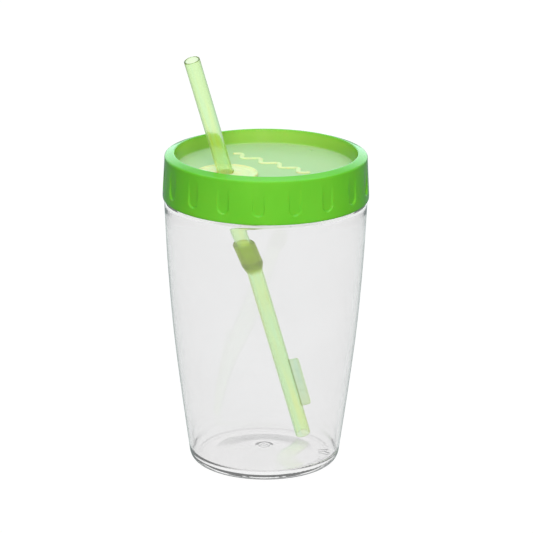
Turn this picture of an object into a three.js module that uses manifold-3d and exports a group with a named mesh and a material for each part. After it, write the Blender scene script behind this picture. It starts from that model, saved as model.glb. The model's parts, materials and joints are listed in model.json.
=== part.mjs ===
// Clear single-wall drinking tumbler with a green screw lid and a two-piece straw.
// Units are millimetres, +Z is up, and the origin is on the tumbler's axis at the underside of its base.
// The straw leans: its two halves are drawn upright in a group of their own, which is swung onto its axis.

import * as THREE from 'three';
import { mergeVertices } from 'three/addons/utils/BufferGeometryUtils.js';
import Module from 'manifold-3d';

// ---------------------------------------------------------------- driving dimensions

const GAP = 0.3;             // clearance between pieces that touch
const AROUND = 60;           // facets round the cup and the lid
const TUBE_AROUND = 20;      // facets round the straws
const DISC_AROUND = 36;      // facets round the grommet

// Cup: the outer wall as [radius, height] stations, joined by a smooth curve.
const CUP_STATIONS = [[34.2, 4], [38.2, 34], [41.6, 63.5], [43.9, 93], [45.2, 118.6]];
const WALL_STEPS = 7;        // rows of facets up the curved wall
const CUP_WALL = 1.7;
const CUP_FLOOR = 2.2;       // height of the inside floor outside its dome
const DOME_R = 22;           // where the inside floor starts to rise towards the axis
const DOME_TOP = 5.6;        // height of the inside floor on the axis
const DOME_WALL = 1.8;       // thickness of the floor on the axis
const DOME_STEPS = 6;        // rows of facets from the dome's edge to the axis
const FOOT_INNER_R = 24;
const FOOT_OUTER_R = 30.4;
const SHOULDER_Z = 121.6;    // top of the shoulder that the lid's skirt closes down to
const NECK_R = 41.4;
const SHOULDER_PULL = [43.4, 115]; // shapes the gentle slope inside the shoulder
const RIM_Z = 132.8;

// Lid: a cap with a recessed deck, a fluted skirt and a plug ring that drops inside the cup's mouth.
const LID_TOP = 143.7;       // the crown's ridge, from which the top slopes down outwards
const RIDGE_R = 41;
const CROWN_Z = 142.2;       // where the crown's slope meets its rounded outer edge
const CROWN_R = 45.14;
const SKIRT_Z = 123;         // lower edge of the skirt
const SKIRT_R = 46;
const SKIRT_INNER_R = 43.8;
const DECK_Z = 137;
const DECK_THICK = 2;
const RECESS_R = 39.8;       // foot of the recess wall, which leans outwards to the ridge
const PLUG_R = 38.9;
const PLUG_WALL = 1.6;
const PLUG_DROP = 4.7;
const FLUTES = 18;
const FLUTE_WIDTH = 5;
const FLUTE_FLOOR_R = 45.15;
const FLUTE_END_Z = 127;     // lowest point of a flute's rounded end
const FLUTE_PHASE = -94;     // degrees about +Z of the flute nearest the front
const VENT = [20.5, 28.5];
const VENT_R = 0.8;

// Screw thread: right-handed, the same lead on the cup's neck and inside the skirt.
const STARTS = 3;
const LEAD = 12;
const THREAD_BASE = 1.1;     // half the thread's height at its root
const THREAD_CREST = 0.45;   // half the thread's height at its crest
const CUP_THREAD_R = 43.1;
const LID_THREAD_R = 42;
const CUP_THREAD_Z = 124.3;  // middle of each cup thread at its lower end
const CUP_THREAD_ARC = 170;
const LID_THREAD_START = 70; // degrees past the lower end of the cup thread above it
const LID_THREAD_ARC = 95;
const THREAD_SPACE = 1.8;    // how far a lid thread's middle lies below the cup thread's

// Sealing ring between the cup's rim and the underside of the deck.
const GASKET_INNER_R = 39.2;
const GASKET_OUTER_R = 43.4;

// Straw: its axis runs from the centre of its lower end to the middle of the grommet.
const STRAW_FOOT = new THREE.Vector3(18.1, 17.9, 4);
const STRAW_HOLE = new THREE.Vector3(-17.7, -15.6, 138);
const STRAW_LENGTH = 200;    // from the lower end to the drinking end
const BORE_R = 2.8;
const UPPER_R = 3.5;
const LOWER_R = 3.6;
const SOCKET_R = 5;
const SOCKET_FROM = 95.5;    // distances along the straw from its lower end
const SOCKET_TO = 111.5;
const SOCKET_TAPER = 4.5;
const STEP_AT = 97.3;        // the ledge inside the socket that the upper straw stands on
const FIN_FROM = 15;
const FIN_TO = 41;
const FIN_REACH = 7.8;
const FIN_THICK = 1.2;
const FIN_CHAMFER = 1.6;

// Grommet: a soft disc that snaps into the deck and wipes the straw.
const DISC_R = 13.8;
const DISC_THICK = 0.9;
const DISC_RIM = 0.35;
const COLLAR_R = 6.4;
const COLLAR_RISE = 0.6;
const HUB_HOLE_R = 8.5;
const UNDER_FLANGE_R = 10.6;
const UNDER_FLANGE_THICK = 1.6;
const WIPER_R = 5.4;
const WIPER_DROP = 5;

// ---------------------------------------------------------------- geometry helpers

const wasm = await Module();
wasm.setup();

const radians = THREE.MathUtils.degToRad;

// A body turned about +Z from [radius, height] points, going up the outside and down the inside.
function turned(points, around) {
  const profile = points.map(([r, z]) => new THREE.Vector2(r, z));
  return new THREE.LatheGeometry(profile, around).rotateX(Math.PI / 2);
}

// The points of a smooth outline corner from a to b, pulled towards the corner point.
function corner(a, pull, b, steps) {
  const curve = new THREE.QuadraticBezierCurve(
    new THREE.Vector2(...a), new THREE.Vector2(...pull), new THREE.Vector2(...b));
  return curve.getPoints(steps).map((p) => [p.x, p.y]);
}

// A solid that can be joined and cut, from any closed three.js geometry.
function solid(geometry) {
  const bare = geometry.clone();
  bare.deleteAttribute('normal');
  bare.deleteAttribute('uv');
  const merged = mergeVertices(bare, 1e-5);
  const corners = merged.index.array;
  const faces = [];
  for (let i = 0; i < corners.length; i += 3) {
    const [a, b, c] = [corners[i], corners[i + 1], corners[i + 2]];
    if (a !== b && b !== c && c !== a) faces.push(a, b, c);
  }
  return new wasm.Manifold(new wasm.Mesh({
    numProp: 3,
    vertProperties: Float32Array.from(merged.attributes.position.array),
    triVerts: Uint32Array.from(faces),
  }));
}

function geometryOf(body) {
  const mesh = body.getMesh();
  const geometry = new THREE.BufferGeometry();
  geometry.setAttribute('position', new THREE.BufferAttribute(mesh.vertProperties, 3));
  geometry.setIndex(new THREE.BufferAttribute(mesh.triVerts, 1));
  geometry.computeVertexNormals();
  return geometry;
}

// One thread ridge: a straight trapezoidal bar bent round +Z, rising with the lead and fading at both ends.
// rootR lies just inside the wall that carries it, and crestR is where the ridge ends.
function threadRidge(rootR, crestR, middleZ, startDeg, arcDeg) {
  const steps = Math.ceil(arcDeg / 12);
  const bar = new THREE.Shape([
    new THREE.Vector2(0, -THREAD_BASE), new THREE.Vector2(1, -THREAD_CREST),
    new THREE.Vector2(1, THREAD_CREST), new THREE.Vector2(0, THREAD_BASE),
  ]);
  const geometry = new THREE.ExtrudeGeometry(bar, { depth: 1, steps, bevelEnabled: false });
  const position = geometry.attributes.position;
  for (let i = 0; i < position.count; i++) {
    const along = crestR > rootR ? 1 - position.getZ(i) : position.getZ(i);
    const fade = Math.min(1, 0.15 + 8 * Math.min(along, 1 - along));
    const radius = rootR + (crestR - rootR) * position.getX(i) * fade;
    const angle = radians(startDeg + arcDeg * along);
    const rise = LEAD * arcDeg / 360 * along;
    position.setXYZ(i, radius * Math.cos(angle), radius * Math.sin(angle), middleZ + rise + position.getY(i));
  }
  return geometry;
}

function withThreads(body, rootR, crestR, middleZ, startDeg, arcDeg) {
  for (let start = 0; start < STARTS; start++) {
    const turn = startDeg + start * 360 / STARTS;
    body = body.add(solid(threadRidge(rootR, crestR, middleZ, turn, arcDeg)));
  }
  return body;
}

// ---------------------------------------------------------------- cup

// The floor's gentle dome, from its edge to the axis.
function dome(edgeR, edgeZ, topZ) {
  return Array.from({ length: DOME_STEPS + 1 }, (_, step) => {
    const share = step / DOME_STEPS;
    return [edgeR * (1 - share), edgeZ + (topZ - edgeZ) * (1 - Math.cos(Math.PI * share)) / 2];
  });
}

function cupSolid() {
  const wall = new THREE.SplineCurve(CUP_STATIONS.map(([r, z]) => new THREE.Vector2(r, z)))
    .getPoints(WALL_STEPS).map((p) => [p.x, p.y]);
  const topR = wall[wall.length - 1][0];
  const inner = wall.slice(1, -1).reverse().map(([r, z]) => [r - CUP_WALL, z]);
  const body = solid(turned([
    ...dome(FOOT_INNER_R, 0, DOME_TOP - DOME_WALL).reverse(),
    ...corner([FOOT_OUTER_R, 0], [33.7, 0], wall[0], 3),
    ...wall.slice(1),
    ...corner([topR + 0.1, SHOULDER_Z - 1.6], [topR + 0.15, SHOULDER_Z], [topR - 1.4, SHOULDER_Z], 2),
    [NECK_R + 0.5, SHOULDER_Z], [NECK_R, SHOULDER_Z + 0.5],
    [NECK_R, RIM_Z - 0.5], [NECK_R - 0.5, RIM_Z],
    [NECK_R - CUP_WALL + 0.4, RIM_Z], [NECK_R - CUP_WALL, RIM_Z - 0.4],
    ...corner([NECK_R - CUP_WALL, SHOULDER_Z + 1.4], SHOULDER_PULL, inner[0], 4),
    ...inner.slice(1),
    ...corner([wall[0][0] - CUP_WALL + 0.4, CUP_FLOOR + 3.6], [31.6, CUP_FLOOR], [28.4, CUP_FLOOR], 3),
    ...dome(DOME_R, CUP_FLOOR, DOME_TOP),
  ], AROUND));
  return withThreads(body, NECK_R - 0.3, CUP_THREAD_R, CUP_THREAD_Z, 0, CUP_THREAD_ARC);
}

// ---------------------------------------------------------------- lid

// A U-shaped cutter with a round lower end, standing radially outside the flute's floor.
function fluteCutter(angleDeg) {
  const half = FLUTE_WIDTH / 2;
  const outline = new THREE.Shape();
  outline.moveTo(half, LID_TOP + 1);
  outline.lineTo(-half, LID_TOP + 1);
  outline.lineTo(-half, FLUTE_END_Z + half);
  outline.absarc(0, FLUTE_END_Z + half, half, Math.PI, 2 * Math.PI, false);
  outline.closePath();
  return new THREE.ExtrudeGeometry(outline, { depth: 3, bevelEnabled: false, curveSegments: 4 })
    .rotateX(Math.PI / 2).translate(0, -FLUTE_FLOOR_R, 0).rotateZ(radians(angleDeg + 90));
}

function lidSolid() {
  const underside = DECK_Z - DECK_THICK;
  const plugInner = PLUG_R - PLUG_WALL;
  let body = solid(turned([
    [0, underside],
    [plugInner, underside],
    [plugInner + 0.1, underside - PLUG_DROP + 0.4], [plugInner + 0.5, underside - PLUG_DROP],
    [PLUG_R - 0.5, underside - PLUG_DROP], [PLUG_R - 0.1, underside - PLUG_DROP + 0.6],
    [PLUG_R, underside],
    [SKIRT_INNER_R, underside],
    [SKIRT_INNER_R, SKIRT_Z + 0.4], [SKIRT_INNER_R + 0.4, SKIRT_Z],
    [SKIRT_R - 0.4, SKIRT_Z], [SKIRT_R, SKIRT_Z + 0.5],
    ...corner([CROWN_R, CROWN_Z - 1], [CROWN_R - 0.05, CROWN_Z + 0.1], [CROWN_R - 1.1, CROWN_Z + 0.4], 3),
    [RIDGE_R + 0.7, LID_TOP - 0.1], [RIDGE_R + 0.2, LID_TOP], [RIDGE_R - 0.3, LID_TOP - 0.3],
    [RIDGE_R - 0.5, LID_TOP - 1],
    ...corner([RECESS_R, DECK_Z + 1.5], [RECESS_R - 0.1, DECK_Z], [RECESS_R - 1.6, DECK_Z], 2),
    [0, DECK_Z],
  ], AROUND));
  for (let flute = 0; flute < FLUTES; flute++) {
    body = body.subtract(solid(fluteCutter(FLUTE_PHASE + flute * 360 / FLUTES)));
  }
  const drill = (radius, x, y) => solid(
    new THREE.CylinderGeometry(radius, radius, 12, 24).rotateX(Math.PI / 2).translate(x, y, DECK_Z));
  body = body.subtract(drill(HUB_HOLE_R, ...grommetCentre)).subtract(drill(VENT_R, ...VENT));
  const threadZ = CUP_THREAD_Z + LEAD * LID_THREAD_START / 360 - THREAD_SPACE;
  return withThreads(body, SKIRT_INNER_R + 0.3, LID_THREAD_R, threadZ, LID_THREAD_START, LID_THREAD_ARC);
}

// ---------------------------------------------------------------- straw axis and grommet

const strawAxis = new THREE.Vector3().subVectors(STRAW_HOLE, STRAW_FOOT).normalize();
const lean = new THREE.Quaternion().setFromUnitVectors(new THREE.Vector3(0, 0, 1), strawAxis);

// The point of the straw's axis at a height.
function strawAt(z) {
  return STRAW_FOOT.clone().addScaledVector(strawAxis, (z - STRAW_FOOT.z) / strawAxis.z);
}

const grommetMiddle = strawAt(DECK_Z - DECK_THICK / 2);
const grommetCentre = [grommetMiddle.x, grommetMiddle.y];

function grommetSolid() {
  const top = DECK_Z + GAP + DISC_THICK;
  const under = DECK_Z - DECK_THICK - GAP;
  const hubR = HUB_HOLE_R - GAP;
  const disc = solid(turned([
    [0, under - UNDER_FLANGE_THICK],
    [UNDER_FLANGE_R - 1.2, under - UNDER_FLANGE_THICK], [UNDER_FLANGE_R, under - 0.3],
    [UNDER_FLANGE_R, under],
    [hubR, under], [hubR, DECK_Z + GAP],
    [DISC_R, DECK_Z + GAP],
    [DISC_R, top + DISC_RIM - 0.3], [DISC_R - 0.35, top + DISC_RIM], [DISC_R - 0.85, top + DISC_RIM],
    [DISC_R - 1.3, top],
    [COLLAR_R + 1.2, top], [COLLAR_R, top + COLLAR_RISE],
    [0, top + COLLAR_RISE],
  ], DISC_AROUND).translate(...grommetCentre, 0));
  const onStraw = (radius, fromZ, toZ) => {
    const low = strawAt(fromZ);
    const length = low.distanceTo(strawAt(toZ));
    const rod = new THREE.CylinderGeometry(radius, radius, length, TUBE_AROUND).rotateX(Math.PI / 2);
    return solid(rod.translate(0, 0, length / 2).applyQuaternion(lean).translate(low.x, low.y, low.z));
  };
  const wiper = onStraw(WIPER_R, under - WIPER_DROP, under - 0.5);
  return disc.add(wiper).subtract(onStraw(UPPER_R + GAP, under - 12, top + 10));
}

// ---------------------------------------------------------------- straws, drawn along +Z from the lower end

function upperStraw() {
  const from = STEP_AT + GAP;
  return turned([
    [BORE_R, from], [UPPER_R - 0.2, from], [UPPER_R, from + 0.2],
    [UPPER_R, STRAW_LENGTH - 0.3], [UPPER_R - 0.2, STRAW_LENGTH], [BORE_R + 0.1, STRAW_LENGTH],
    [BORE_R, STRAW_LENGTH - 0.1], [BORE_R, from],
  ], TUBE_AROUND);
}

function lowerStrawSolid() {
  const socketBore = UPPER_R + GAP;
  const tube = solid(turned([
    [BORE_R, 0], [LOWER_R - 0.2, 0], [LOWER_R, 0.2],
    [LOWER_R, SOCKET_FROM - SOCKET_TAPER],
    [LOWER_R + 0.35, SOCKET_FROM - 0.7 * SOCKET_TAPER], [SOCKET_R - 0.35, SOCKET_FROM - 0.3 * SOCKET_TAPER],
    [SOCKET_R, SOCKET_FROM], [SOCKET_R, SOCKET_TO - 1.3], [SOCKET_R - 0.7, SOCKET_TO],
    [socketBore + 0.2, SOCKET_TO], [socketBore, SOCKET_TO - 0.4], [socketBore, STEP_AT],
    [BORE_R, STEP_AT], [BORE_R, 0],
  ], TUBE_AROUND));
  const root = (BORE_R + LOWER_R) / 2;
  const outline = new THREE.Shape([
    new THREE.Vector2(root, FIN_FROM), new THREE.Vector2(FIN_REACH - FIN_CHAMFER, FIN_FROM),
    new THREE.Vector2(FIN_REACH, FIN_FROM + FIN_CHAMFER), new THREE.Vector2(FIN_REACH, FIN_TO - FIN_CHAMFER),
    new THREE.Vector2(FIN_REACH - FIN_CHAMFER, FIN_TO), new THREE.Vector2(root, FIN_TO),
  ]);
  const fin = new THREE.ExtrudeGeometry(outline, { depth: FIN_THICK, bevelEnabled: false })
    .translate(0, 0, -FIN_THICK / 2).rotateX(Math.PI / 2);
  return tube.add(solid(fin));
}

function gasket() {
  const low = RIM_Z + GAP;
  const high = DECK_Z - DECK_THICK - GAP;
  return turned([
    [GASKET_INNER_R, low], [GASKET_OUTER_R, low], [GASKET_OUTER_R, high],
    [GASKET_INNER_R, high], [GASKET_INNER_R, low],
  ], AROUND);
}

// ---------------------------------------------------------------- scene graph

function piece(name, geometry, look) {
  const mesh = new THREE.Mesh(geometry, new THREE.MeshStandardMaterial(look));
  mesh.name = name;
  return mesh;
}

const clear = { color: 0xeef2f2, roughness: 0.05, metalness: 0, transparent: true, opacity: 0.25 };
const green = { color: 0x62c83c, roughness: 0.28, metalness: 0 };
const paleGreen = { color: 0xc4e8a6, roughness: 0.2, metalness: 0, transparent: true, opacity: 0.75 };
const cream = { color: 0xdcf3c0, roughness: 0.5, metalness: 0 };
const white = { color: 0xe9ece8, roughness: 0.6, metalness: 0 };

// The straw's own frame: its +Z is the straw's axis and its +X side carries the fin.
const straw = new THREE.Group();
straw.position.copy(STRAW_FOOT);
straw.quaternion.copy(lean);
straw.add(
  piece('lower_straw', geometryOf(lowerStrawSolid()), paleGreen),
  piece('upper_straw', upperStraw(), paleGreen),
);

const tumbler = new THREE.Group();
tumbler.add(
  piece('cup', geometryOf(cupSolid()), clear),
  piece('lid', geometryOf(lidSolid()), green),
  piece('lid_gasket', gasket(), white),
  piece('straw_grommet', geometryOf(grommetSolid()), cream),
  straw,
);

export default tumbler;
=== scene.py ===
"""A clear drinking tumbler with a green screw lid and a pale green straw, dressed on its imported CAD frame.

Lengths in the functions below are millimetres in the frame's axes, and MM turns them into Blender's metres.
Overall heights and radii are read from the CAD nodes' boxes; what lies between them is named at the head of
each section.
"""

import json
import math

import bmesh
import bpy
from mathutils import Matrix, Vector


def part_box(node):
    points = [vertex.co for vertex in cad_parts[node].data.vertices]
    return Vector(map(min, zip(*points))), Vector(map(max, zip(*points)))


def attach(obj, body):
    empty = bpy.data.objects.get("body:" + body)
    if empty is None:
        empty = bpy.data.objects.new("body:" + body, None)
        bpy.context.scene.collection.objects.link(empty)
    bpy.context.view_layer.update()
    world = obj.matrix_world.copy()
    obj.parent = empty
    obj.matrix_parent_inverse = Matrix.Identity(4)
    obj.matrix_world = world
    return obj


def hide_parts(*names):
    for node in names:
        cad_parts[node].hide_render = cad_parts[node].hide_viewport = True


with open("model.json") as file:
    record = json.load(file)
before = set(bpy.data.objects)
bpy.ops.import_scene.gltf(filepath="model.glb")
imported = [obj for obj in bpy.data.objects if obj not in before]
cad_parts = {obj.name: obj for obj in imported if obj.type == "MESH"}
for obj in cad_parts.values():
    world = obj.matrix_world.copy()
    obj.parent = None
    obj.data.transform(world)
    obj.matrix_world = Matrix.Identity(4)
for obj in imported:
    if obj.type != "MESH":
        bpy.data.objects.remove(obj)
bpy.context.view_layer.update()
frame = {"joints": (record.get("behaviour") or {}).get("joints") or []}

MM = 0.001


# ---------------------------------------------------------------- the frame's own sizes

def box(node):
    """A CAD node's box in millimetres."""
    low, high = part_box(node)
    return low / MM, high / MM


CUP_HIGH = box("cup")[1]
LID_LOW, LID_HIGH = box("lid")
GASKET_LOW, GASKET_HIGH = box("lid_gasket")
DISC_LOW, DISC_HIGH = box("straw_grommet")
UPPER_LOW, UPPER_HIGH = box("upper_straw")
LOWER_LOW = box("lower_straw")[0]

JOINTS = {joint["name"]: joint for joint in frame["joints"]}
STRAW_AXIS = Vector(JOINTS["straw_slide"]["axis"]).normalized()
STRAW_SINE = math.hypot(STRAW_AXIS.x, STRAW_AXIS.y)


# ---------------------------------------------------------------- dimensions that several pieces share

GAP = 0.3                    # clearance between pieces that touch
STARTS, LEAD = 3, 12.0       # the screw thread
THREAD_BASE, THREAD_CREST = 1.1, 0.45   # half the thread's height at its root and at its crest
CUP_THREAD_Z = 124.3         # middle of each cup thread at its lower end
DECK_Z, DECK_THICK = 137.0, 2.0         # the lid's sunken deck
RECESS_R = 39.8              # foot of the recess wall
RIDGE_R = 40.8               # the crown's ridge, at the top of the recess wall
BORE_R, UPPER_R, LOWER_R, SOCKET_R = 2.8, 3.5, 3.6, 5.0   # the straw
SOCKET_FROM, SOCKET_TO, SOCKET_TAPER = 95.5, 111.5, 4.5   # the lower straw's socket, along the straw


def straw_at(z):
    """The point of the straw's axis at a height."""
    middle = (UPPER_LOW + UPPER_HIGH) / 2
    return middle + STRAW_AXIS * ((z - middle.z) / STRAW_AXIS.z)


# ---------------------------------------------------------------- camera

CAMERA_DISTANCE = 1200.0
CAMERA_ELEVATION = math.radians(18.35)
CAMERA_TARGET = Vector((0.0, 0.0, 70.0))   # the point that the camera's distance is measured from
CAMERA_AIM = Vector((0.49, 0.0, 90.35))    # the point in the middle of the picture
CAMERA_ROLL = math.radians(0.36)
LENS = 179.35
SENSOR = 36.0


def make_camera():
    back = Vector((0, -math.cos(CAMERA_ELEVATION), math.sin(CAMERA_ELEVATION)))
    place = CAMERA_TARGET + back * CAMERA_DISTANCE
    data = bpy.data.cameras.new("photo_camera")
    data.lens = LENS
    data.sensor_width = SENSOR
    data.clip_start, data.clip_end = 0.05, 50
    camera = bpy.data.objects.new("photo_camera", data)
    camera.location = place * MM
    look = (CAMERA_AIM - place).to_track_quat("-Z", "Y")
    camera.rotation_mode = "QUATERNION"
    camera.rotation_quaternion = look @ Matrix.Rotation(CAMERA_ROLL, 4, "Z").to_quaternion()
    bpy.context.collection.objects.link(camera)
    bpy.context.scene.camera = camera


make_camera()


# ---------------------------------------------------------------- mesh helpers

def smoothstep(low, high, value):
    t = min(1.0, max(0.0, (value - low) / (high - low)))
    return t * t * (3 - 2 * t)


def bend(a, pull, b, steps):
    """Points from a to b along a curve pulled towards a corner."""
    a, pull, b = Vector(a), Vector(pull), Vector(b)
    return [tuple(a.lerp(pull, k / steps).lerp(pull.lerp(b, k / steps), k / steps)) for k in range(steps + 1)]


def fillet(points, steps=5):
    """An outline with rounded corners, from (r, z) or (r, z, corner radius) points."""
    out = []
    last = len(points) - 1
    for i, point in enumerate(points):
        here = Vector(point[:2])
        radius = point[2] if len(point) > 2 else 0
        if radius == 0 or i in (0, last):
            out.append(tuple(here))
            continue
        before = Vector(points[i - 1][:2]) - here
        after = Vector(points[i + 1][:2]) - here
        half = before.angle(after) / 2
        cut = min(radius / math.tan(half), 0.49 * before.length, 0.49 * after.length)
        out += bend(here + before.normalized() * cut, here, here + after.normalized() * cut, steps)
    return out


def spline(stations, rows):
    """A smooth curve through (r, z) stations, uniform Catmull-Rom."""
    points = [Vector(s) for s in stations]
    padded = [2 * points[0] - points[1], *points, 2 * points[-1] - points[-2]]
    out = []
    for row in range(rows + 1):
        at = row / rows * (len(points) - 1)
        i = min(int(at), len(points) - 2)
        t = at - i
        a, b, c, d = padded[i:i + 4]
        out.append(tuple(0.5 * (2 * b + (c - a) * t + (2 * a - 5 * b + 4 * c - d) * t * t
                                + (3 * b - a - 3 * c + d) * t ** 3)))
    return out


def rows_between(a, b, spacing):
    """Points from a to b, about one spacing apart, without b itself."""
    a, b = Vector(a), Vector(b)
    count = max(1, round((b - a).length / spacing))
    return [tuple(a.lerp(b, k / count)) for k in range(count)]


def quarter_round(distance, radius):
    """How high a rounded edge stands, 0 to 1, at a distance in from it."""
    return math.sqrt(1 - (1 - min(1, max(0, distance / radius))) ** 2)


def new_mesh(name, verts, faces):
    """A mesh from points in millimetres."""
    mesh = bpy.data.meshes.new(name)
    mesh.from_pydata([tuple(Vector(point) * MM) for point in verts], [], faces)
    mesh.validate()
    mesh.update()
    return mesh


def link(name, mesh, sharp_deg=40):
    mesh.shade_smooth()
    mesh.set_sharp_from_angle(angle=math.radians(sharp_deg))
    obj = bpy.data.objects.new(name, mesh)
    bpy.context.collection.objects.link(obj)
    return obj


def ring_faces(rows, size, closed):
    """Faces between rings of points. A closed body's last ring is joined to its first."""
    faces = []
    for row in range(rows if closed else rows - 1):
        low, high = row * size, ((row + 1) % rows) * size
        for k in range(size):
            n = (k + 1) % size
            faces.append((low + k, low + n, high + n, high + k))
    return faces


def turned_mesh(name, profile, around, push=None):
    """A closed body turned about +Z. The profile starts and ends on the axis, or else closes on itself.
    push(theta, r, z) gives the moved (r, z) of a point, for flutes, threads and marks."""
    on_axis = profile[0][0] < 1e-6
    body = profile[1:-1] if on_axis else profile
    verts = []
    for r, z in body:
        for k in range(around):
            theta = 2 * math.pi * k / around
            rr, zz = push(theta, r, z) if push else (r, z)
            verts.append((rr * math.cos(theta), rr * math.sin(theta), zz))
    faces = ring_faces(len(body), around, closed=not on_axis)
    if on_axis:
        bottom = len(verts)
        top = bottom - around
        verts += [(0, 0, profile[0][1]), (0, 0, profile[-1][1])]
        for k in range(around):
            n = (k + 1) % around
            faces.append((bottom, n, k))
            faces.append((bottom + 1, top + k, top + n))
    return new_mesh(name, verts, faces)


def lofted_mesh(name, rings):
    """A closed ring-shaped body through equal rings of points, the last joined to the first."""
    verts = [point for ring in rings for point in ring]
    return new_mesh(name, verts, ring_faces(len(rings), len(rings[0]), closed=True))


def combine(obj, other, how):
    """Joins or cuts two meshes exactly and keeps the result in the first."""
    modifier = obj.modifiers.new(how.lower(), "BOOLEAN")
    modifier.operation = how
    modifier.solver = "EXACT"
    modifier.object = other
    graph = bpy.context.evaluated_depsgraph_get()
    made = bpy.data.meshes.new_from_object(obj.evaluated_get(graph))
    obj.modifiers.clear()
    obj.data = made
    bpy.data.objects.remove(other)


# ---------------------------------------------------------------- material helpers

class Nodes:
    """A material's node tree with short ways to add and join nodes."""

    def __init__(self, name):
        self.material = bpy.data.materials.new(name)
        self.material.use_nodes = True
        self.tree = self.material.node_tree
        self.shader = self.tree.nodes["Principled BSDF"]

    def add(self, kind, **settings):
        node = self.tree.nodes.new(kind)
        for key, value in settings.items():
            if key in node.inputs:
                node.inputs[key].default_value = value
            else:
                setattr(node, key, value)
        return node

    def join(self, source, target):
        self.tree.links.new(source, target)

    def noise(self, scale, stretch=(1, 1, 1), detail=3.0):
        """Noise over object coordinates in metres: scale is in cells per metre."""
        coordinates = self.add("ShaderNodeTexCoord")
        mapping = self.add("ShaderNodeMapping")
        mapping.inputs["Scale"].default_value = stretch
        noise = self.add("ShaderNodeTexNoise", Scale=scale, Detail=detail)
        self.join(coordinates.outputs["Object"], mapping.inputs["Vector"])
        self.join(mapping.outputs["Vector"], noise.inputs["Vector"])
        return noise.outputs["Fac"]

    def spread(self, source, low, high, from_low=0.3, from_high=0.7):
        """Maps a texture's usual range to low..high."""
        ranged = self.add("ShaderNodeMapRange")
        ends = {"From Min": from_low, "From Max": from_high, "To Min": low, "To Max": high}
        for name, value in ends.items():
            ranged.inputs[name].default_value = value
        self.join(source, ranged.inputs["Value"])
        return ranged.outputs["Result"]

    def near(self, keep, centre, start, end):
        """1 within start millimetres of a centre, measured over the axes kept, falling to 0 at end."""
        off = self.add("ShaderNodeVectorMath", operation="SUBTRACT")
        part = self.add("ShaderNodeVectorMath", operation="MULTIPLY")
        size = self.add("ShaderNodeVectorMath", operation="LENGTH")
        off.inputs[1].default_value = Vector(centre) * MM
        part.inputs[1].default_value = keep
        self.join(self.add("ShaderNodeTexCoord").outputs["Object"], off.inputs[0])
        self.join(off.outputs["Vector"], part.inputs[0])
        self.join(part.outputs["Vector"], size.inputs[0])
        return self.spread(size.outputs["Value"], 1, 0, start * MM, end * MM)

    def both(self, one, other):
        times = self.add("ShaderNodeMath", operation="MULTIPLY")
        self.join(one, times.inputs[0])
        self.join(other, times.inputs[1])
        return times.outputs[0]

    def tinted(self, tone, colour, share):
        """A tone with a colour laid over it where the share is 1."""
        mix = self.add("ShaderNodeMix", data_type="RGBA")
        self.join(share, mix.inputs["Factor"])
        self.join(tone, mix.inputs["A"])
        mix.inputs["B"].default_value = (*colour, 1)
        return mix.outputs["Result"]

    def two_tone(self, source, a, b):
        mix = self.add("ShaderNodeMix", data_type="RGBA")
        self.join(source, mix.inputs["Factor"])
        mix.inputs["A"].default_value = (*a, 1)
        mix.inputs["B"].default_value = (*b, 1)
        return mix.outputs["Result"]

    def bump(self, source, depth_mm, under=None):
        bump = self.add("ShaderNodeBump", Distance=depth_mm * MM, Strength=1.0)
        self.join(source, bump.inputs["Height"])
        if under is not None:
            self.join(under, bump.inputs["Normal"])
        return bump.outputs["Normal"]

    def set(self, **values):
        for key, value in values.items():
            self.shader.inputs[key.replace("_", " ")].default_value = value

    def drive(self, **sources):
        for key, source in sources.items():
            self.join(source, self.shader.inputs[key.replace("_", " ")])


ACROSS, UPRIGHT = (1, 1, 0), (0, 0, 1)   # the axes that a zone of a material is measured over


def clear_plastic():
    """Colourless copolyester: faint waviness from the mould, fine handling haze and a trace of grey in its
    depth. The faint emission stands for light scattered inside the wall, which lifts its edges from black
    to grey."""
    m = Nodes("clear_plastic")
    m.set(IOR=1.5, Transmission_Weight=1.0, Emission_Color=(1, 1, 1, 1), Emission_Strength=0.03)
    tone = m.two_tone(m.spread(m.noise(30), 0, 1), (0.842, 0.838, 0.840), (0.860, 0.856, 0.858))
    m.drive(Base_Color=tone, Roughness=m.spread(m.noise(420, detail=5), 0.0, 0.035))
    m.drive(Normal=m.bump(m.noise(55, (1, 1, 0.35), 1), 0.008))
    return m.material


def green_plastic():
    """Glossy green polypropylene: slight flow variation and a fine satin skin. Inside the ridge the green is
    painted lighter and yellower for the light that falls on the recess wall, and the deck is painted paler
    for the bright overhead that it reflects; the deck is also rougher."""
    m = Nodes("green_plastic")
    tone = m.two_tone(m.spread(m.noise(45, (1, 1, 0.5)), 0, 1), (0.100, 0.480, 0.018), (0.125, 0.530, 0.026))
    # Painted light: inside the ridge the green is made lighter and yellower for the front light that falls on
    # the recess wall.
    recess = m.near(ACROSS, (0, 0, 0), RIDGE_R - 0.3, RIDGE_R + 0.3)
    tone = m.tinted(tone, (0.22, 0.50, 0.060), recess)
    # Painted reflection: the deck is made paler for the bright overhead that it reflects. The same zone also
    # makes the deck rougher below.
    deck = m.both(m.near(ACROSS, (0, 0, 0), RECESS_R - 1.0, RECESS_R + 0.2),
                  m.near(UPRIGHT, (0, 0, DECK_Z), 0.25, 1.2))
    tone = m.tinted(tone, (0.42, 0.60, 0.28), deck)
    satin = m.spread(m.noise(600, detail=4), 0.10, 0.17)
    rough = m.add("ShaderNodeMath", operation="MULTIPLY_ADD")
    rough.inputs[1].default_value = 0.4   # how much rougher the deck is
    m.join(deck, rough.inputs[0])
    m.join(satin, rough.inputs[2])
    m.set(IOR=1.49, Subsurface_Weight=0.12, Subsurface_Scale=0.004)
    m.drive(Base_Color=tone, Roughness=rough.outputs[0])
    fine = m.bump(m.noise(900, detail=1), 0.0008)
    m.drive(Normal=m.bump(m.noise(70, detail=1), 0.006, fine))
    return m.material


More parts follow.
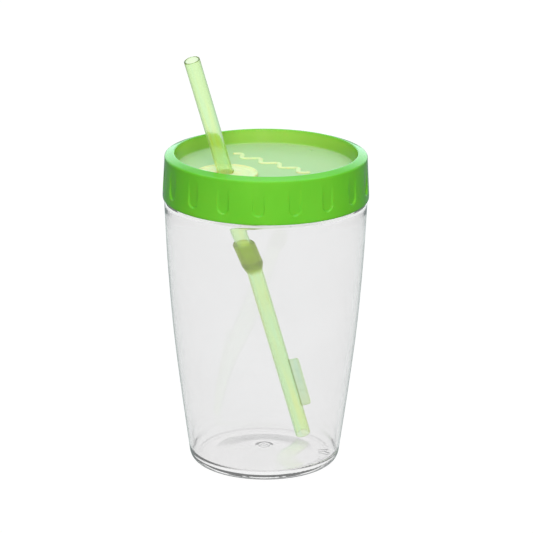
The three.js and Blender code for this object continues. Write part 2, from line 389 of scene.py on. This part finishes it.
def straw_plastic(name, glow_strength, socket=False):
    """Pale green translucent plastic, streaked yellow and mint along the straw, and a deeper olive where a
    socket's wall is thick. Its object's +Z is the straw's axis. The faint emission stands for light scattered
    inside the cloudy wall, and the absorption darkens the wall where it is seen edge on."""
    m = Nodes(name)
    tone = m.two_tone(m.spread(m.noise(240, (1, 1, 0.12)), 0, 1), (0.86, 0.97, 0.98), (1.0, 0.99, 0.86))
    glow = m.two_tone(m.spread(m.noise(420, (1, 1, 0.1)), 0, 1), (0.72, 1.0, 0.45), (1.0, 0.94, 0.01))
    if socket:
        middle = (SOCKET_FROM + SOCKET_TO - SOCKET_TAPER) / 2
        thick = m.near(UPRIGHT, (0, 0, middle), 7.6, 11.0)
        tone = m.tinted(tone, (0.48, 0.55, 0.0), thick)
        glow = m.tinted(glow, (0.74, 0.88, 0.0), thick)
    m.set(IOR=1.45, Transmission_Weight=1.0, Emission_Strength=glow_strength)
    m.drive(Base_Color=tone, Emission_Color=glow)
    m.drive(Roughness=m.spread(m.noise(700, (1, 1, 0.2), 4), 0.04, 0.12))
    m.drive(Normal=m.bump(m.noise(900, (1, 1, 0.03), 1), 0.003))
    body = m.add("ShaderNodeVolumeAbsorption", Density=1000.0, Color=(0.50, 0.66, 0.56, 1))
    m.join(body.outputs["Volume"], m.tree.nodes["Material Output"].inputs["Volume"])
    return m.material


def soft_silicone(name, low, high):
    """Soft moulded silicone: cloudy, with a fine matt grain."""
    m = Nodes(name)
    tone = m.two_tone(m.spread(m.noise(160), 0, 1), low, high)
    m.set(IOR=1.41, Subsurface_Weight=0.35, Subsurface_Scale=0.004, Specular_IOR_Level=0.35)
    m.drive(Base_Color=tone, Roughness=m.spread(m.noise(900, detail=4), 0.38, 0.55))
    m.drive(Normal=m.bump(m.noise(1100, detail=1), 0.0015))
    return m.material


CLEAR = clear_plastic()
GREEN = green_plastic()
UPPER_STRAW = straw_plastic("upper_straw_plastic", 0.125)
LOWER_STRAW = straw_plastic("lower_straw_plastic", 0.15, socket=True)
DISC = soft_silicone("grommet_silicone", (0.72, 0.76, 0.36), (0.79, 0.82, 0.43))
RING = soft_silicone("ring_silicone", (0.80, 0.83, 0.78), (0.88, 0.90, 0.86))


def dress(obj, material, body, slot, *replaced):
    """Gives a piece its material and its body, and hides the CAD nodes that it stands for."""
    obj.data.materials.append(material)
    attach(obj, body)
    if replaced:
        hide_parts(*replaced)


# ---------------------------------------------------------------- cup

CUP_STATIONS = [(34.2, 4.0), (38.2, 34.0), (41.6, 63.5), (43.9, 93.0), (45.2, 118.6)]
CUP_WALL, CUP_FLOOR = 1.7, 2.2
DOME_R, DOME_TOP, DOME_WALL = 22.0, 5.6, 1.8   # the floor rises to a gentle dome inside this radius
DOME_EASE = 0.55             # share of the dome's slope that eases in and out at its ends
FOOT_INNER_R, FOOT_OUTER_R = 24.0, 30.4
HEEL_PULL = (33.7, 0.0)
BASIN_PULL_R, BASIN_R = 31.6, 28.4             # where the wall's inside curves into the floor
SHOULDER_Z = 121.6
NECK_R = 41.4
NECK_FOOT_Z = SHOULDER_Z + 1.2
SLOPE_Z = 104.5              # where the wall starts to thicken towards the shoulder
SLOPE_PULL = (43.4, 115.0)
CUP_THREAD_R, CUP_THREAD_ARC = 43.1, 170.0
GATE_INNER_R, GATE_OUTER_R, GATE_DEPTH = 1.6, 2.5, 0.2   # the moulding gate's ring groove, under the dome
TICK_FROM, TICK_TO = math.radians(-64), math.radians(8)  # the arc of moulded ticks in the foot ring
TICK_PITCH, TICK_SHARE = math.radians(4), 0.42           # share is how much of the pitch a tick takes
TICK_INNER_R, TICK_OUTER_R, TICK_DEPTH = 25.2, 28.8, 0.5
TICK_EDGE = 0.2              # half the width of the slope at each end of a tick


def ridge(theta, z, middle, start_deg, arc_deg):
    """How far a screw ridge stands out, 0 to 1, at an angle and a height."""
    tallest = 0.0
    for start in range(STARTS):
        turn = (math.degrees(theta) - start_deg - start * 360 / STARTS) % 360
        if turn > arc_deg:
            continue
        along = turn / arc_deg
        away = abs(z - middle - LEAD * turn / 360)
        fade = smoothstep(0, 0.12, min(along, 1 - along))
        tallest = max(tallest, fade * (1 - smoothstep(THREAD_CREST, THREAD_BASE, away)))
    return tallest


def cup_push(theta, r, z):
    """The thread on the neck and the ticks under the foot ring."""
    if r > NECK_R - 0.1 and SHOULDER_Z + 0.5 < z < CUP_HIGH.z - 0.4:
        return r + (CUP_THREAD_R - NECK_R) * ridge(theta, z, CUP_THREAD_Z, 0, CUP_THREAD_ARC), z
    angle = (theta + math.pi) % (2 * math.pi) - math.pi
    if z < 0.01 and TICK_INNER_R < r < TICK_OUTER_R and TICK_FROM < angle < TICK_TO:
        if (angle - TICK_FROM) % TICK_PITCH < TICK_SHARE * TICK_PITCH:
            return r, z + TICK_DEPTH
    return r, z


def dome(edge_r, edge_z, top_z, steps=32):
    """The floor's gentle dome, from its edge to the axis."""
    shares = [k / steps for k in range(steps + 1)]
    eased = [(1 - DOME_EASE) * t + DOME_EASE * (1 - math.cos(math.pi * t)) / 2 for t in shares]
    return [(edge_r * (1 - t), edge_z + (top_z - edge_z) * rise) for t, rise in zip(shares, eased)]


def cup_foot():
    """The underside, from the axis to the outer edge of the foot ring."""
    under = DOME_TOP - DOME_WALL
    gate = fillet([
        (0, under), (GATE_INNER_R - 0.1, under, 0.1), (GATE_INNER_R, under - GATE_DEPTH, 0.1),
        (GATE_OUTER_R, under - GATE_DEPTH, 0.1), (GATE_OUTER_R + 0.1, under - 0.05, 0.1),
        (GATE_OUTER_R + 0.4, under - 0.08),
    ])
    slope = [point for point in reversed(dome(FOOT_INNER_R, 0, under)) if point[0] > GATE_OUTER_R + 0.5]
    ring = [(middle + side * TICK_EDGE, 0) for middle in (TICK_INNER_R, TICK_OUTER_R) for side in (-1, 1)]
    return gate + slope + ring + [(FOOT_OUTER_R, 0)]


def make_cup():
    wall = spline(CUP_STATIONS, 40)
    top_r = wall[-1][0]
    rim = CUP_HIGH.z
    inner = [(r - CUP_WALL, z) for r, z in reversed(wall[1:]) if z < SLOPE_Z]
    neck_in = NECK_R - CUP_WALL
    heel = bend((FOOT_OUTER_R, 0), HEEL_PULL, wall[0], 14)[1:]
    shoulder = fillet([
        wall[-1], (top_r + 0.12, SHOULDER_Z, 1.1), (NECK_R, SHOULDER_Z, 0.6), (NECK_R, NECK_FOOT_Z),
    ], 6)
    neck = rows_between((NECK_R, NECK_FOOT_Z), (NECK_R, rim - 1.0), 0.22)[1:]
    mouth = fillet([
        (NECK_R, rim - 1.0), (NECK_R, rim, 0.5), (neck_in, rim, 0.5), (neck_in, SHOULDER_Z + 3),
    ], 6)
    slope = bend((neck_in, SHOULDER_Z + 1.4), SLOPE_PULL, inner[0], 16)
    basin_top = (wall[0][0] - CUP_WALL + 0.4, CUP_FLOOR + 3.6)
    basin = bend(basin_top, (BASIN_PULL_R, CUP_FLOOR), (BASIN_R, CUP_FLOOR), 14)
    profile = cup_foot() + heel + wall[1:-1] + shoulder + neck + mouth + slope[:-1] + inner + basin
    profile += dome(DOME_R, CUP_FLOOR, DOME_TOP)
    cup = link("tumbler_cup", turned_mesh("tumbler_cup", profile, 360, cup_push))
    dress(cup, CLEAR, "cup", "cup_clear", "cup")


make_cup()


# ---------------------------------------------------------------- lid

RIDGE_Z = LID_HIGH.z + 0.12            # the crown's ridge before it is rounded
CROWN_R, CROWN_Z = 45.1, 142.4         # its outer edge before it is rounded
CROWN_FOOT = (CROWN_R + 0.03, CROWN_Z - 1.7)
SKIRT_Z, SKIRT_R, SKIRT_INNER_R = LID_LOW.z, LID_HIGH.x, 43.8
HEM_INSIDE, HEM_OUTSIDE = 0.8, 1.6     # how far up the skirt its rounded hem reaches
PLUG_R, PLUG_WALL, PLUG_DROP = 38.9, 1.6, 4.7
FLUTES, FLUTE_HALF, FLUTE_FLOOR_R, FLUTE_END_Z = 18, 2.5, 45.15, 127.0
FLUTE_PHASE = math.radians(-94)
FLUTE_EDGE = 0.2                       # softness of a flute's edge
THREAD_SPACE = 1.8                     # how far a lid thread's middle lies below the cup thread's
LID_THREAD_R, LID_THREAD_START, LID_THREAD_ARC = 42.0, 70.0, 95.0
LID_THREAD_Z = CUP_THREAD_Z + LEAD * LID_THREAD_START / 360 - THREAD_SPACE
HUB_R = 8.2                            # the grommet's waist, in its hole of HUB_R + GAP
HUB = straw_at(DECK_Z - DECK_THICK / 2)
VENT = (20.5, 28.5)
VENT_R = 0.8


def lid_push(theta, r, z):
    """The flutes round the skirt and the thread inside it."""
    if r > SKIRT_R - 1.2 and z > FLUTE_END_Z - 1:
        pitch = 2 * math.pi / FLUTES
        off = (theta - FLUTE_PHASE + pitch / 2) % pitch - pitch / 2
        across = r * math.sin(off)
        low = FLUTE_END_Z + FLUTE_HALF
        outside = abs(across) - FLUTE_HALF if z > low else math.hypot(across, z - low) - FLUTE_HALF
        share = 1 - smoothstep(-FLUTE_EDGE, FLUTE_EDGE, outside)
        return r + share * min(0.0, FLUTE_FLOOR_R / math.cos(off) - r), z
    if abs(r - SKIRT_INNER_R) < 0.05 and z > SKIRT_Z + 0.4:
        share = ridge(theta, z, LID_THREAD_Z, LID_THREAD_START, LID_THREAD_ARC)
        return r - (SKIRT_INNER_R - LID_THREAD_R) * share, z
    return r, z


def cut(obj, radius, x, y):
    """Drills a round hole through the deck."""
    work = bmesh.new()
    place = Matrix.Translation(Vector((x, y, DECK_Z)) * MM)
    bmesh.ops.create_cone(work, cap_ends=True, segments=96, radius1=radius * MM, radius2=radius * MM,
                          depth=12 * MM, matrix=place)
    mesh = bpy.data.meshes.new("drill")
    work.to_mesh(mesh)
    work.free()
    drill = bpy.data.objects.new("drill", mesh)
    bpy.context.collection.objects.link(drill)
    combine(obj, drill, "DIFFERENCE")


def make_lid():
    under = DECK_Z - DECK_THICK
    plug_in = PLUG_R - PLUG_WALL
    inside = fillet([
        (0, under), (plug_in, under, 0.8), (plug_in, under - PLUG_DROP, 0.5),
        (PLUG_R, under - PLUG_DROP, 0.6), (PLUG_R, under, 0.2),
        (SKIRT_INNER_R, under, 0.2), (SKIRT_INNER_R, under - 1),
    ])
    bore = rows_between((SKIRT_INNER_R, under - 1), (SKIRT_INNER_R, SKIRT_Z + HEM_INSIDE), 0.25)[1:]
    hem = fillet([
        (SKIRT_INNER_R, SKIRT_Z + HEM_INSIDE), (SKIRT_INNER_R, SKIRT_Z, 0.35), (SKIRT_R - 0.03, SKIRT_Z, 0.8),
        (SKIRT_R, SKIRT_Z + HEM_OUTSIDE),
    ])
    skirt = rows_between((SKIRT_R, SKIRT_Z + HEM_OUTSIDE), CROWN_FOOT, 0.3)[1:]
    crown = fillet([
        CROWN_FOOT, (CROWN_R, CROWN_Z, 1.1), (RIDGE_R, RIDGE_Z, 0.7), (RECESS_R, DECK_Z, 1.4),
        (RECESS_R - 4, DECK_Z),
    ], 7)
    deck = [(r, DECK_Z) for r in (33, 28, 20, 10, 0)]
    lid = link("lid_cap", turned_mesh("lid_cap", inside + bore + hem + skirt + crown + deck, 720, lid_push))
    cut(lid, HUB_R + GAP, HUB.x, HUB.y)
    cut(lid, VENT_R, *VENT)
    dress(lid, GREEN, "cap", "lid_green", "lid")


make_lid()

WAVE_START, WAVE_END = Vector((-15.0, 21.0)), Vector((19.0, -11.0))   # a raised wavy line across the deck
WAVE_PITCH, WAVE_SWING, WAVE_HALF, WAVE_RISE = 11.5, 2.3, 1.05, 0.45
WAVE_SINK, WAVE_BEVEL = 0.25, 0.2      # how deep it sits in the deck, and the height of its bevel
WAVE_STEPS = 160


def wave_ring(s):
    """The wave's section at a distance along it, rounded off towards both ends."""
    line = WAVE_END - WAVE_START
    along = line.normalized()
    across = Vector((-along.y, along.x))
    turns = 2 * math.pi / WAVE_PITCH
    middle = WAVE_START + along * s + across * WAVE_SWING * math.sin(turns * s)
    side = (across - along * WAVE_SWING * turns * math.cos(turns * s)).normalized()
    half = WAVE_HALF * quarter_round(min(s, line.length - s), WAVE_HALF) + 0.02
    outline = ((-half, -WAVE_SINK), (-half, WAVE_RISE - WAVE_BEVEL), (-0.7 * half, WAVE_RISE),
               (0.7 * half, WAVE_RISE), (half, WAVE_RISE - WAVE_BEVEL), (half, -WAVE_SINK))
    return [(middle.x + side.x * w, middle.y + side.y * w, DECK_Z + h) for w, h in outline]


def make_mark():
    """A plain raised wave, in place of lettering."""
    length = (WAVE_END - WAVE_START).length
    rings = [wave_ring(length * k / WAVE_STEPS) for k in range(WAVE_STEPS + 1)]
    size = len(rings[0])
    faces = [tuple(range(size)), tuple(reversed(range(WAVE_STEPS * size, (WAVE_STEPS + 1) * size)))]
    faces += [tuple(reversed(face)) for face in ring_faces(WAVE_STEPS + 1, size, closed=False)]
    mesh = new_mesh("lid_mark", [point for ring in rings for point in ring], faces)
    dress(link("lid_mark", mesh, 50), DISC, "cap", "grommet_silicone")


make_mark()


# ---------------------------------------------------------------- sealing ring under the deck

GASKET_INNER_R = 39.2
GASKET_ROUND = 0.4


def make_ring():
    inner, outer = GASKET_INNER_R, GASKET_HIGH.x
    low, high = GASKET_LOW.z, GASKET_HIGH.z
    middle = (low + high) / 2
    corners = [(inner, low), (outer, low), (outer, high), (inner, high)]
    profile = fillet([
        (inner, middle), *[(r, z, GASKET_ROUND) for r, z in corners], (inner, middle + 0.05),
    ])
    ring = link("sealing_ring", turned_mesh("sealing_ring", profile, 240))
    dress(ring, RING, "seal", "gasket_silicone", "lid_gasket")


make_ring()


# ---------------------------------------------------------------- straw

STEP_AT = 97.3               # the ledge inside the socket that the upper straw stands on
MOUTH_LIP = 0.75             # thickness that the socket's rounded mouth takes off
FIN_FROM, FIN_TO, FIN_REACH, FIN_THICK, FIN_CORNER = 15.0, 41.0, 7.8, 1.2, 1.6
FIN_EDGE = 0.35              # radius of the fin's rounded edge
FIN_RELIEF = 0.16            # height of its raised border and chevrons
CHEVRONS, CHEVRON_SLOPE = (22.5, 28.0, 33.5), 0.8
FIN_LONG_STEPS, FIN_WIDE_STEPS = 150, 26
FOOT = straw_at(LOWER_LOW.z + (LOWER_R - 0.2) * STRAW_SINE)
STRAW_END = (UPPER_HIGH.z - UPPER_R * STRAW_SINE - FOOT.z) / STRAW_AXIS.z
STRAW_TURN = Vector((0, 0, 1)).rotation_difference(STRAW_AXIS)
STRAW_FRAME = Matrix.Translation(FOOT * MM) @ STRAW_TURN.to_matrix().to_4x4()


def on_straw(obj, material, body, *replaced):
    obj.matrix_world = STRAW_FRAME
    dress(obj, material, body, "straw_pale_green", *replaced)


def make_upper_straw():
    start = STEP_AT + GAP
    profile = fillet([
        (BORE_R, start + 2), (BORE_R, start, 0.2), (UPPER_R, start, 0.3),
        *rows_between((UPPER_R, start + 1), (UPPER_R, STRAW_END - 1), 6),
        (UPPER_R, STRAW_END, 0.3), (BORE_R, STRAW_END, 0.3),
        *rows_between((BORE_R, STRAW_END - 1), (BORE_R, start + 8), 6),
    ])
    tube = link("straw_upper_tube", turned_mesh("straw_upper_tube", profile, 96))
    on_straw(tube, UPPER_STRAW, "straw_upper", "upper_straw")


def fin_half(x, z, reach):
    """Half the fin's thickness at a point: a rounded edge, a raised border and raised chevrons."""
    edge = min(reach - x, z - FIN_FROM, FIN_TO - z)
    border = smoothstep(0.25, 0.45, edge) * (1 - smoothstep(0.75, 0.95, edge))
    panel = smoothstep(1.0, 1.2, edge) * smoothstep(LOWER_R + 0.7, LOWER_R + 0.9, x)
    slant = CHEVRON_SLOPE * abs(x - (LOWER_R + reach) / 2)
    chevrons = [panel * (1 - smoothstep(0.25, 0.5, abs(z - middle - slant))) for middle in CHEVRONS]
    return FIN_THICK / 2 * quarter_round(edge, FIN_EDGE) + FIN_RELIEF * max(border, *chevrons)


def fin_mesh():
    """A flat tab with round corners, from inside the tube's wall outwards."""
    root = (BORE_R + LOWER_R) / 2
    last = FIN_LONG_STEPS
    row, sheet = FIN_WIDE_STEPS + 1, (last + 1) * (FIN_WIDE_STEPS + 1)
    verts, faces = [], []
    for side in (1, -1):
        for i in range(last + 1):
            z = FIN_FROM + (FIN_TO - FIN_FROM) * i / last
            corner = FIN_CORNER * (1 - quarter_round(min(z - FIN_FROM, FIN_TO - z), FIN_CORNER))
            reach = FIN_REACH - corner
            for j in range(row):
                x = root + (reach - root) * j / FIN_WIDE_STEPS
                verts.append((x, side * fin_half(x, z, reach), z))
    for i in range(last):
        for j in range(FIN_WIDE_STEPS):
            a = i * row + j
            faces.append((a, a + row, a + row + 1, a + 1))
            faces.append((sheet + a, sheet + a + 1, sheet + a + row + 1, sheet + a + row))
    border = list(range(row)) + [i * row + FIN_WIDE_STEPS for i in range(1, last + 1)]
    border += [last * row + j for j in reversed(range(FIN_WIDE_STEPS))]
    border += [i * row for i in reversed(range(1, last))]
    for a, b in zip(border, border[1:] + border[:1]):
        faces.append((a, b, sheet + b, sheet + a))
    mesh = new_mesh("fin", verts, faces)
    work = bmesh.new()
    work.from_mesh(mesh)
    bmesh.ops.remove_doubles(work, verts=work.verts, dist=1e-7)
    bmesh.ops.recalc_face_normals(work, faces=work.faces)
    work.to_mesh(mesh)
    work.free()
    return mesh


def make_lower_straw():
    socket_bore = UPPER_R + GAP
    taper_from = SOCKET_FROM - SOCKET_TAPER
    profile = fillet([
        (BORE_R, 2), (BORE_R, 0, 0.2), (LOWER_R, 0, 0.3),
        *rows_between((LOWER_R, 1), (LOWER_R, taper_from - 1), 4),
        (LOWER_R, taper_from, 3), (SOCKET_R, SOCKET_FROM, 3), (SOCKET_R, SOCKET_TO - 1.4, 0.6),
        (SOCKET_R - MOUTH_LIP, SOCKET_TO, 0.35), (socket_bore + 0.1, SOCKET_TO, 0.25),
        (socket_bore, SOCKET_TO - 1), (socket_bore, STEP_AT, 0.15), (BORE_R, STEP_AT, 0.1),
        *rows_between((BORE_R, STEP_AT - 1), (BORE_R, 4), 4),
    ], 6)
    tube = link("straw_lower_tube", turned_mesh("straw_lower_tube", profile, 96))
    fin = bpy.data.objects.new("fin", fin_mesh())
    bpy.context.collection.objects.link(fin)
    combine(tube, fin, "UNION")
    tube.data.shade_smooth()
    tube.data.set_sharp_from_angle(angle=math.radians(40))
    on_straw(tube, LOWER_STRAW, "straw_lower", "lower_straw")


make_upper_straw()
make_lower_straw()


# ---------------------------------------------------------------- grommet

DISC_R = (DISC_HIGH.x - DISC_LOW.x) / 2
DISC_RIM, COLLAR_RISE = 0.35, 0.6      # how far the rim and the collar stand above the disc's face
GROOVE_FROM, GROOVE_TO, GROOVE_DEPTH = 9.6, 10.9, 0.12   # a shallow groove round the disc's face
UNDER_FLANGE_R, UNDER_FLANGE_THICK = 10.6, 1.6
RING_POINTS = 144
# The collar's rounded top: out from the bore, up from the face, and how far it has turned level.
COLLAR = ((0.05, 0.4, 0.4), (0.35, 0.58, 0.6), (1.0, 0.5, 0.9), (1.7, 0.2, 1.0))
# The wiper round the straw: its outside radius, and how far it is below the deck's hole.
WIPER = ((6.3, 1.9), (5.6, 2.6), (5.4, 3.6), (5.3, 4.7), (4.9, 5.0), (4.2, 5.0))


def flat_ring(radius, z):
    return [(HUB.x + radius * math.cos(t), HUB.y + radius * math.sin(t), z)
            for t in (2 * math.pi * k / RING_POINTS for k in range(RING_POINTS))]


def leaning_ring(radius, z, level=0.0):
    """A ring about the straw's axis at a height. level turns it from square to the straw (0) to
    horizontal (1)."""
    centre = straw_at(z)
    ring = []
    for k in range(RING_POINTS):
        t = 2 * math.pi * k / RING_POINTS
        flat = Vector((math.cos(t), math.sin(t), 0))
        square = (flat - STRAW_AXIS * flat.dot(STRAW_AXIS)).normalized() * radius
        ring.append(tuple(centre + square.lerp(flat * radius / STRAW_AXIS.z, level)))
    return ring


def make_grommet():
    top = DISC_HIGH.z - COLLAR_RISE
    rim = top + DISC_RIM
    under = DECK_Z - DECK_THICK - GAP
    bore = UPPER_R + GAP
    rings = [leaning_ring(bore, z) for z in (under - 4.6, under - 2, under, DECK_Z, top)]
    rings += [leaning_ring(bore + out, top + rise, level) for out, rise, level in COLLAR]
    rings += [flat_ring(r, z) for r, z in fillet([
        (7.6, top + 0.02), (GROOVE_FROM, top), (GROOVE_FROM + 0.4, top - GROOVE_DEPTH),
        (GROOVE_TO - 0.4, top - GROOVE_DEPTH), (GROOVE_TO, top), (DISC_R - 1.3, top, 0.2),
        (DISC_R - 1.0, rim, 0.25), (DISC_R - 0.35, rim, 0.25), (DISC_R, rim - 0.5, 0.3),
        (DISC_R, DECK_Z + GAP, 0.25), (HUB_R, DECK_Z + GAP, 0.2),
        (HUB_R, under, 0.2), (UNDER_FLANGE_R, under, 0.25),
        (UNDER_FLANGE_R - 0.6, under - 1.1, 0.4), (UNDER_FLANGE_R - 1.6, under - UNDER_FLANGE_THICK, 0.4),
        (UNDER_FLANGE_R - 2.6, under - UNDER_FLANGE_THICK),
    ])]
    rings += [leaning_ring(radius, under - drop) for radius, drop in WIPER]
    disc = link("straw_seal_disc", lofted_mesh("straw_seal_disc", rings))
    dress(disc, DISC, "cap", "grommet_silicone", "straw_grommet")


make_grommet()


# ---------------------------------------------------------------- stage and light

# The surround, in metres. The floor reaches past the backdrop's foot, so that no gap shows between them.
BACKDROP_RADIUS, FLOOR_RADIUS = 6.0, 6.2
FLOOR_GLOW, FLOOR_TONE = 0.97, 0.05
BACKDROP_GLOW = 1.03


def stage_piece(name, bm, tone, glow):
    """Part of the white surround. Only the camera and what is seen through the cup meet it, so the
    world's lights and darks still shape the reflections."""
    mesh = bpy.data.meshes.new(name)
    bm.to_mesh(mesh)
    bm.free()
    mesh.shade_smooth()
    obj = bpy.data.objects.new(name, mesh)
    bpy.context.collection.objects.link(obj)
    m = Nodes(name)
    m.set(Base_Color=(tone, tone, tone, 1), Roughness=1.0, Specular_IOR_Level=0.0,
          Emission_Color=(1, 1, 1, 1), Emission_Strength=glow)
    mesh.materials.append(m.material)
    obj.visible_glossy = False
    obj.visible_diffuse = False
    obj.visible_shadow = False


def make_stage():
    floor = bmesh.new()
    bmesh.ops.create_circle(floor, cap_ends=True, segments=96, radius=FLOOR_RADIUS,
                            matrix=Matrix.Translation((0, 0, -0.0002)))
    stage_piece("floor", floor, FLOOR_TONE, FLOOR_GLOW)
    backdrop = bmesh.new()
    bmesh.ops.create_uvsphere(backdrop, u_segments=64, v_segments=32, radius=BACKDROP_RADIUS)
    bmesh.ops.delete(backdrop, geom=[v for v in backdrop.verts if v.co.z < -0.01], context="VERTS")
    stage_piece("dome", backdrop, 0.0, BACKDROP_GLOW)



def world_ramp(tree, source, stops):
    """A grey ramp over one component of the direction, from (component, brightness) stops."""
    ranged = tree.nodes.new("ShaderNodeMapRange")
    ranged.inputs["From Min"].default_value = -1
    tree.links.new(source, ranged.inputs["Value"])
    curve = tree.nodes.new("ShaderNodeFloatCurve")
    points = curve.mapping.curves[0].points
    scale = max(value for _, value in stops)
    for i, (at, value) in enumerate(stops):
        place = ((at + 1) / 2, value / scale)
        if i in (0, len(stops) - 1):
            points[0 if i == 0 else -1].location = place
        else:
            points.new(*place)
    for point in points:
        point.handle_type = "AUTO_CLAMPED"
    curve.mapping.update()
    tree.links.new(ranged.outputs["Result"], curve.inputs["Value"])
    times = tree.nodes.new("ShaderNodeMath")
    times.operation = "MULTIPLY"
    times.inputs[1].default_value = scale
    tree.links.new(curve.outputs["Value"], times.inputs[0])
    return times.outputs[0]


# Brightness of the surround by direction, as (Y of the direction, brightness), above and below the horizon.
SIDES_ABOVE = [(-1, 0.5), (-0.8, 0.4), (-0.4, 0.2), (0, 0.1), (0.4, 0.25), (0.75, 0.8), (0.92, 1.8), (1, 2.0)]
SIDES_BELOW = [(-1, 0.3), (-0.7, 0.3), (-0.3, 0.2), (0.2, 0.15), (0.7, 0.25), (1, 0.35)]
OVERHEAD = 1.6
HORIZON_FROM, HORIZON_TO = -0.04, 0.04     # where below gives way to above, as the Z of the direction
OVERHEAD_FROM, OVERHEAD_TO = 0.6, 0.85     # where the sides give way to overhead
SURROUND_COLOUR = (0.78, 1.0, 0.97, 1)

KEY_PLACE, KEY_TARGET = (0.1, -1.5, 0.55), (0, 0, 0.1)     # metres
KEY_SIZE, KEY_WATTS, KEY_COLOUR = (0.6, 0.8), 20, (1.42, 1.0, 0.92)


def make_world():
    world = bpy.data.worlds.new("studio")
    bpy.context.scene.world = world
    world.use_nodes = True
    tree = world.node_tree
    coordinates = tree.nodes.new("ShaderNodeTexCoord")
    split = tree.nodes.new("ShaderNodeSeparateXYZ")
    tree.links.new(coordinates.outputs["Generated"], split.inputs["Vector"])

    def mixed(low, high, start, end):
        """The low value giving way to the high one as the direction's Z goes from start to end."""
        share = tree.nodes.new("ShaderNodeMapRange")
        share.interpolation_type = "SMOOTHSTEP"
        share.inputs["From Min"].default_value = start
        share.inputs["From Max"].default_value = end
        tree.links.new(split.outputs["Z"], share.inputs["Value"])
        mix = tree.nodes.new("ShaderNodeMix")
        tree.links.new(share.outputs["Result"], mix.inputs["Factor"])
        tree.links.new(low, mix.inputs["A"])
        if isinstance(high, float):
            mix.inputs["B"].default_value = high
        else:
            tree.links.new(high, mix.inputs["B"])
        return mix.outputs["Result"]

    above = world_ramp(tree, split.outputs["Y"], SIDES_ABOVE)
    below = world_ramp(tree, split.outputs["Y"], SIDES_BELOW)
    sides = mixed(below, above, HORIZON_FROM, HORIZON_TO)
    background = tree.nodes["Background"]
    background.inputs["Color"].default_value = SURROUND_COLOUR
    tree.links.new(mixed(sides, OVERHEAD, OVERHEAD_FROM, OVERHEAD_TO), background.inputs["Strength"])


def make_key_light():
    """A soft light in front, which is not seen itself in the plastic or through it."""
    data = bpy.data.lights.new("key", "AREA")
    data.shape = "RECTANGLE"
    data.size, data.size_y = KEY_SIZE
    data.energy = KEY_WATTS
    data.color = KEY_COLOUR
    light = bpy.data.objects.new("key", data)
    light.visible_glossy = False
    light.visible_transmission = False
    light.location = KEY_PLACE
    light.rotation_mode = "QUATERNION"
    light.rotation_quaternion = (Vector(KEY_TARGET) - Vector(KEY_PLACE)).to_track_quat("-Z", "Y")
    bpy.context.collection.objects.link(light)


make_stage()
make_world()
make_key_light()

scene = bpy.context.scene
scene.view_settings.view_transform = "Standard"
scene.cycles.max_bounces = 24            # enough for light to pass both walls of the cup and the straw
scene.cycles.transmission_bounces = 24
scene.cycles.transparent_max_bounces = 16
